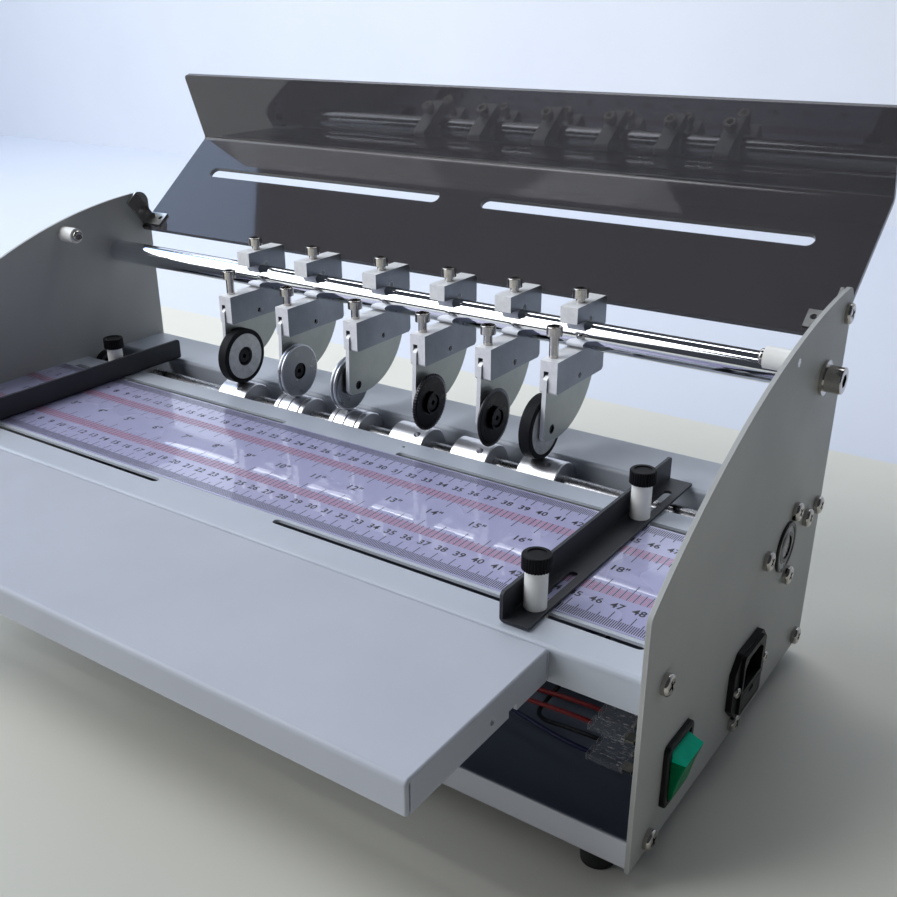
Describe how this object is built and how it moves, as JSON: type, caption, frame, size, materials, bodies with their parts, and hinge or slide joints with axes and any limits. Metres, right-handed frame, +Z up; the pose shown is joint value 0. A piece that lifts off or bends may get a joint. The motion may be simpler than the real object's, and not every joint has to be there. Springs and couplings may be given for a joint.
{
  "type": "desktop paper creasing machine",
  "caption": "Desktop paper creasing machine: sheet-metal frame, feed tray, ruled deck, paper guides, tool holders on a tie bar over a driven roller shaft, smoked hinged cover.",
  "frame": {"origin": "under the middle of the machine, on the surface its feet stand on, with the cover open", "axes": "+X to the operator's right along the rollers, +Y from the feed tray to the back, +Z up"},
  "size_m": [0.5232, 0.3716, 0.2832],
  "materials": {
    "plate_paint": "fine powder coat",
    "pan_paint": "powder coat",
    "deck_steel": "satin",
    "scale_film": "glossy printed film",
    "tray_paint": "textured powder coat",
    "foot_rubber": "matt",
    "screw_steel": "nickel plate",
    "bar_chrome": "polished",
    "bearing_steel": "ground",
    "motor_case": "satin",
    "zinc_sheet": "zinc plate",
    "black_plastic": "fine grain",
    "wire_sleeve": "soft PVC",
    "clear_sleeve": "clear PVC",
    "smoked_acrylic": "smoked, glossy",
    "roller_steel": "turned",
    "gear_steel": "hobbed",
    "green_plastic": "translucent",
    "guide_paint": "satin anthracite",
    "white_nylon": "smooth",
    "knob_black": "knurled",
    "block_zinc": "mottled, as cut",
    "arm_steel": "laser-cut",
    "wheel_rubber": "tyre on a grey disc",
    "blade_black": "blackened",
    "wheel_steel": "ground"
  },
  "bodies": {
    "frame": {"left_side_plate": "plate_paint", "right_side_plate": "plate_paint", "base_pan": "pan_paint", "deck": "deck_steel", "ruler_scale": "scale_film", "rear_deck": "deck_steel", "feed_tray": "tray_paint", "rubber_feet": "foot_rubber", "frame_screws": "screw_steel", "tie_bar": "bar_chrome", "tie_bar_screws": "screw_steel", "cover_stops": "white_nylon", "cover_pivot_screws": "screw_steel", "shaft_bearings": "bearing_steel", "gearmotor": "motor_case", "motor_bracket": "zinc_sheet", "switch_housing": "black_plastic", "power_inlet": "black_plastic", "internal_wires": "wire_sleeve", "wire_terminals": "clear_sleeve"},
    "cover": {"cover_panel": "smoked_acrylic", "cover_hinges": "zinc_sheet", "cover_rivets": "screw_steel"},
    "drive": {"drive_shaft": "roller_steel", "drive_rollers": "roller_steel", "driven_gear": "gear_steel"},
    "pinion": {"motor_pinion": "gear_steel"},
    "rocker": {"power_rocker": "green_plastic"},
    "left_posts": {"left_guide_posts": "white_nylon"},
    "left_rail": {"left_guide": "guide_paint"},
    "left_front_knob": {"left_guide_front_knob": "knob_black"},
    "left_rear_knob": {"left_guide_rear_knob": "knob_black"},
    "right_posts": {"right_guide_posts": "white_nylon"},
    "right_rail": {"right_guide": "guide_paint"},
    "right_front_knob": {"right_guide_front_knob": "knob_black"},
    "right_rear_knob": {"right_guide_rear_knob": "knob_black"},
    "left_feed_holder": {"left_feed_block": "block_zinc", "left_feed_screws": "screw_steel"},
    "left_feed_lever": {"left_feed_arm": "arm_steel"},
    "left_feed_roll": {"left_feed_wheel": "wheel_rubber"},
    "left_crease_holder": {"left_crease_block": "block_zinc", "left_crease_screws": "screw_steel"},
    "left_crease_lever": {"left_crease_arm": "arm_steel"},
    "left_crease_roll": {"left_crease_wheel": "wheel_steel"},
    "right_crease_holder": {"right_crease_block": "block_zinc", "right_crease_screws": "screw_steel"},
    "right_crease_lever": {"right_crease_arm": "arm_steel"},
    "right_crease_roll": {"right_crease_wheel": "wheel_steel"},
    "perforating_holder": {"perforating_block": "block_zinc", "perforating_screws": "screw_steel"},
    "perforating_lever": {"perforating_arm": "arm_steel"},
    "perforating_roll": {"perforating_wheel": "blade_black"},
    "slitting_holder": {"slitting_block": "block_zinc", "slitting_screws": "screw_steel"},
    "slitting_lever": {"slitting_arm": "arm_steel"},
    "slitting_roll": {"slitting_wheel": "blade_black"},
    "right_feed_holder": {"right_feed_block": "block_zinc", "right_feed_screws": "screw_steel"},
    "right_feed_lever": {"right_feed_arm": "arm_steel"},
    "right_feed_roll": {"right_feed_wheel": "wheel_rubber"}
  },
  "joints": [
    {"name": "cover_hinge", "type": "hinge", "parent": "frame", "child": "cover", "pos_m": [0, 0.11448, 0.19397], "axis": [1, 0, 0], "range_deg": [0, 149]},
    {"name": "shaft_spin", "type": "hinge", "parent": "frame", "child": "drive", "pos_m": [0, 0.0655, 0.0892], "axis": [1, 0, 0], "continuous": true},
    {"name": "pinion_spin", "type": "hinge", "parent": "frame", "child": "pinion", "pos_m": [-0.232, 0.0655, 0.06705], "axis": [1, 0, 0], "continuous": true},
    {"name": "power_rocker_tilt", "type": "hinge", "parent": "frame", "child": "rocker", "pos_m": [0.25, -0.0555, 0.04], "axis": [0, 1, 0], "range_deg": [-28, 0]},
    {"name": "left_guide_across", "type": "slide", "parent": "frame", "child": "left_posts", "axis": [1, 0, 0], "range_m": [-0.04, 0.038]},
    {"name": "left_guide_forward", "type": "slide", "parent": "left_posts", "child": "left_rail", "axis": [0, 1, 0], "range_m": [-0.033, 0]},
    {"name": "left_front_knob_turn", "type": "hinge", "parent": "left_posts", "child": "left_front_knob", "pos_m": [-0.1956, -0.0692, 0.124], "axis": [0, 0, 1], "range_deg": [0, 360]},
    {"name": "left_rear_knob_turn", "type": "hinge", "parent": "left_posts", "child": "left_rear_knob", "pos_m": [-0.1956, 0.032, 0.124], "axis": [0, 0, 1], "range_deg": [0, 360]},
    {"name": "right_guide_across", "type": "slide", "parent": "frame", "child": "right_posts", "axis": [1, 0, 0], "range_m": [-0.04, 0.045]},
    {"name": "right_guide_forward", "type": "slide", "parent": "right_posts", "child": "right_rail", "axis": [0, 1, 0], "range_m": [-0.033, 0]},
    {"name": "right_front_knob_turn", "type": "hinge", "parent": "right_posts", "child": "right_front_knob", "pos_m": [0.1903, -0.0692, 0.124], "axis": [0, 0, 1], "range_deg": [0, 360]},
    {"name": "right_rear_knob_turn", "type": "hinge", "parent": "right_posts", "child": "right_rear_knob", "pos_m": [0.1903, 0.032, 0.124], "axis": [0, 0, 1], "range_deg": [0, 360]},
    {"name": "left_feed_across", "type": "slide", "parent": "frame", "child": "left_feed_holder", "axis": [1, 0, 0], "range_m": [-0.015, 0.015]},
    {"name": "left_feed_lift", "type": "hinge", "parent": "left_feed_holder", "child": "left_feed_lever", "pos_m": [-0.1152, 0.0847, 0.1475], "axis": [1, 0, 0], "range_deg": [-4, 0]},
    {"name": "left_feed_spin", "type": "hinge", "parent": "left_feed_lever", "child": "left_feed_roll", "pos_m": [-0.1152, 0.0655, 0.1214], "axis": [1, 0, 0], "continuous": true},
    {"name": "left_crease_across", "type": "slide", "parent": "frame", "child": "left_crease_holder", "axis": [1, 0, 0], "range_m": [-0.015, 0.015]},
    {"name": "left_crease_lift", "type": "hinge", "parent": "left_crease_holder", "child": "left_crease_lever", "pos_m": [-0.0664, 0.0847, 0.1475], "axis": [1, 0, 0], "range_deg": [-4, 0]},
    {"name": "left_crease_spin", "type": "hinge", "parent": "left_crease_lever", "child": "left_crease_roll", "pos_m": [-0.0664, 0.0655, 0.1202], "axis": [1, 0, 0], "continuous": true},
    {"name": "right_crease_across", "type": "slide", "parent": "frame", "child": "right_crease_holder", "axis": [1, 0, 0], "range_m": [-0.015, 0.015]},
    {"name": "right_crease_lift", "type": "hinge", "parent": "right_crease_holder", "child": "right_crease_lever", "pos_m": [-0.0126, 0.0847, 0.1475], "axis": [1, 0, 0], "range_deg": [-4, 0]},
    {"name": "right_crease_spin", "type": "hinge", "parent": "right_crease_lever", "child": "right_crease_roll", "pos_m": [-0.0126, 0.0655, 0.1202], "axis": [1, 0, 0], "continuous": true},
    {"name": "perforating_across", "type": "slide", "parent": "frame", "child": "perforating_holder", "axis": [1, 0, 0], "range_m": [-0.015, 0.014]},
    {"name": "perforating_lift", "type": "hinge", "parent": "perforating_holder", "child": "perforating_lever", "pos_m": [0.0363, 0.0847, 0.1475], "axis": [1, 0, 0], "range_deg": [-4, 0]},
    {"name": "perforating_spin", "type": "hinge", "parent": "perforating_lever", "child": "perforating_roll", "pos_m": [0.0363, 0.0655, 0.1202], "axis": [1, 0, 0], "continuous": true},
    {"name": "slitting_across", "type": "slide", "parent": "frame", "child": "slitting_holder", "axis": [1, 0, 0], "range_m": [-0.014, 0.008]},
    {"name": "slitting_lift", "type": "hinge", "parent": "slitting_holder", "child": "slitting_lever", "pos_m": [0.0799, 0.0847, 0.1475], "axis": [1, 0, 0], "range_deg": [-4, 0]},
    {"name": "slitting_spin", "type": "hinge", "parent": "slitting_lever", "child": "slitting_roll", "pos_m": [0.0799, 0.0655, 0.1202], "axis": [1, 0, 0], "continuous": true},
    {"name": "right_feed_across", "type": "slide", "parent": "frame", "child": "right_feed_holder", "axis": [1, 0, 0], "range_m": [-0.008, 0.014]},
    {"name": "right_feed_lift", "type": "hinge", "parent": "right_feed_holder", "child": "right_feed_lever", "pos_m": [0.1205, 0.0847, 0.1475], "axis": [1, 0, 0], "range_deg": [-4, 0]},
    {"name": "right_feed_spin", "type": "hinge", "parent": "right_feed_lever", "child": "right_feed_roll", "pos_m": [0.1205, 0.0655, 0.1214], "axis": [1, 0, 0], "continuous": true}
  ],
  "couplings": [
    {"joint": "pinion_spin", "follows": "shaft_spin", "ratio": -0.83333},
    {"joint": "left_feed_spin", "follows": "shaft_spin", "ratio": -0.78212},
    {"joint": "left_crease_spin", "follows": "shaft_spin", "ratio": -0.83832},
    {"joint": "right_crease_spin", "follows": "shaft_spin", "ratio": -0.83832},
    {"joint": "perforating_spin", "follows": "shaft_spin", "ratio": -0.83832},
    {"joint": "slitting_spin", "follows": "shaft_spin", "ratio": -0.83832},
    {"joint": "right_feed_spin", "follows": "shaft_spin", "ratio": -0.78212}
  ]
}
